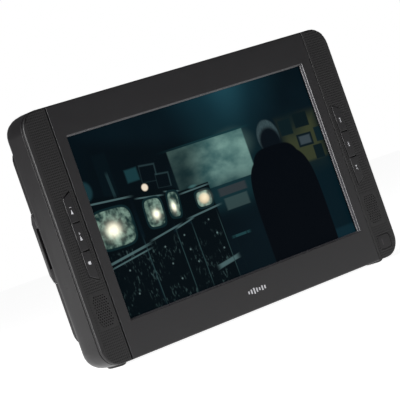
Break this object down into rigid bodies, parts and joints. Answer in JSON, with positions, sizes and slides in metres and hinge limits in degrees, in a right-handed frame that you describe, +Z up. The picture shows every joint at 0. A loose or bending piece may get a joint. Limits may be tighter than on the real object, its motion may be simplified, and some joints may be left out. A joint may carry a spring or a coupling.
{
  "type": "portable television",
  "caption": "Flat portable television with a recessed wide screen, side key strips, speaker grilles, rear strap loops and a hinged disc door on its back.",
  "frame": {"origin": "under the middle of the set, on the surface that its rubber feet stand on", "axes": "+Z up the screen, -Y out of the screen towards the viewer, +X to the viewer's right"},
  "size_m": [0.288, 0.032, 0.1752],
  "materials": {
    "centre_panel": "smooth satin moulded panel",
    "textured_strip": "fine dimpled moulding",
    "smoked_window": "smoked infrared window",
    "rear_shell": "fine spark texture",
    "key_plastic": "satin keys with bevelled edges",
    "black_plastic": "plain black moulding",
    "grey_plastic": "glass-filled grey moulding",
    "white_plastic": "natural acetal",
    "foot_rubber": "soft matt rubber",
    "foam_gasket": "closed-cell foam",
    "black_screw": "blackened screw heads",
    "steel_pin": "drawn bright steel",
    "sheet_steel": "zinc-plated sheet",
    "display_glass": "anti-glare display face",
    "ribbon_film": "polyimide film",
    "circuit_board": "solder mask",
    "battery_wrap": "shrink wrap",
    "speaker_metal": "black pressed frame",
    "speaker_cone": "doped paper cone",
    "lens_glass": "coated lens",
    "brass_shell": "gilt contact shell"
  },
  "bodies": {
    "root": {"front_bezel": "centre_panel", "left_trim_strip": "textured_strip", "right_trim_strip": "textured_strip", "ir_window": "smoked_window", "rear_cover": "rear_shell", "left_strap_lug": "rear_shell", "right_strap_lug": "rear_shell", "door_hinge_pins": "steel_pin", "rubber_feet": "foot_rubber", "case_screws": "black_screw", "front_frame": "black_plastic", "screen_gasket": "foam_gasket", "lcd_frame": "sheet_steel", "lcd_panel": "display_glass", "backlight_unit": "white_plastic", "display_bracket": "sheet_steel", "lcd_ribbon": "ribbon_film", "main_board": "circuit_board", "main_board_chips": "black_plastic", "tuner_module": "sheet_steel", "power_board": "circuit_board", "battery_pack": "battery_wrap", "left_key_board": "circuit_board", "right_key_board": "circuit_board", "left_tact_switches": "sheet_steel", "right_tact_switches": "sheet_steel", "ir_receiver": "black_plastic", "left_speaker": "speaker_metal", "right_speaker": "speaker_metal", "left_speaker_cone": "speaker_cone", "right_speaker_cone": "speaker_cone", "disc_tray": "black_plastic", "drive_chassis": "sheet_steel", "drive_grommets": "foot_rubber", "spindle_motor": "steel_pin", "guide_rods": "steel_pin", "sled_motor": "steel_pin", "power_switch_body": "sheet_steel", "dc_in_jack": "black_plastic", "headphone_jacks": "black_plastic", "aerial_socket": "brass_shell", "usb_socket": "sheet_steel", "card_slot": "sheet_steel", "board_screws": "steel_pin"},
    "disc_door": {"disc_door": "rear_shell"},
    "open_button": {"open_button": "key_plastic"},
    "door_latch": {"door_latch": "white_plastic"},
    "disc_hub": {"disc_hub": "white_plastic"},
    "pickup_sled": {"pickup_sled": "grey_plastic", "pickup_lens": "lens_glass"},
    "lead_screw": {"lead_screw": "steel_pin"},
    "power_switch_knob": {"power_switch_knob": "key_plastic"},
    "volume_down_key": {"volume_down_key": "key_plastic"},
    "volume_up_key": {"volume_up_key": "key_plastic"},
    "stop_key": {"stop_key": "key_plastic"},
    "next_key": {"next_key": "key_plastic"},
    "previous_key": {"previous_key": "key_plastic"},
    "play_key": {"play_key": "key_plastic"}
  },
  "joints": [
    {"name": "volume_down_press", "type": "slide", "parent": "root", "child": "volume_down_key", "axis": [0, 1, 0], "range_m": [0, 0.0004], "stiffness_N_per_m": 400},
    {"name": "volume_up_press", "type": "slide", "parent": "root", "child": "volume_up_key", "axis": [0, 1, 0], "range_m": [0, 0.0004], "stiffness_N_per_m": 400},
    {"name": "stop_press", "type": "slide", "parent": "root", "child": "stop_key", "axis": [0, 1, 0], "range_m": [0, 0.0004], "stiffness_N_per_m": 400},
    {"name": "next_press", "type": "slide", "parent": "root", "child": "next_key", "axis": [0, 1, 0], "range_m": [0, 0.0004], "stiffness_N_per_m": 400},
    {"name": "previous_press", "type": "slide", "parent": "root", "child": "previous_key", "axis": [0, 1, 0], "range_m": [0, 0.0004], "stiffness_N_per_m": 400},
    {"name": "play_press", "type": "slide", "parent": "root", "child": "play_key", "axis": [0, 1, 0], "range_m": [0, 0.0004], "stiffness_N_per_m": 400},
    {"name": "disc_door_hinge", "type": "hinge", "parent": "root", "child": "disc_door", "pos_m": [0, 0.0107, 0.1536], "axis": [1, 0, 0], "range_deg": [0, 80]},
    {"name": "open_button_press", "type": "slide", "parent": "root", "child": "open_button", "axis": [0, -1, 0], "range_m": [0, 0.001], "stiffness_N_per_m": 400},
    {"name": "door_latch_slide", "type": "slide", "parent": "root", "child": "door_latch", "axis": [1, 0, 0], "range_m": [0, 0.0015]},
    {"name": "disc_hub_spin", "type": "hinge", "parent": "root", "child": "disc_hub", "pos_m": [0, 0.0066, 0.0865], "axis": [0, 1, 0], "continuous": true},
    {"name": "pickup_sled_slide", "type": "slide", "parent": "root", "child": "pickup_sled", "axis": [1, 0, 0], "range_m": [0, 0.033]},
    {"name": "lead_screw_spin", "type": "hinge", "parent": "root", "child": "lead_screw", "pos_m": [0, 0.0012, 0.063], "axis": [1, 0, 0], "range_deg": [0, 3960]},
    {"name": "power_switch_slide", "type": "slide", "parent": "root", "child": "power_switch_knob", "axis": [0, 0, 1], "range_m": [0, 0.004]}
  ],
  "couplings": [
    {"joint": "door_latch_slide", "follows": "open_button_press", "ratio": 1.5},
    {"joint": "lead_screw_spin", "follows": "pickup_sled_slide", "rad_per_m": 2094.4}
  ]
}
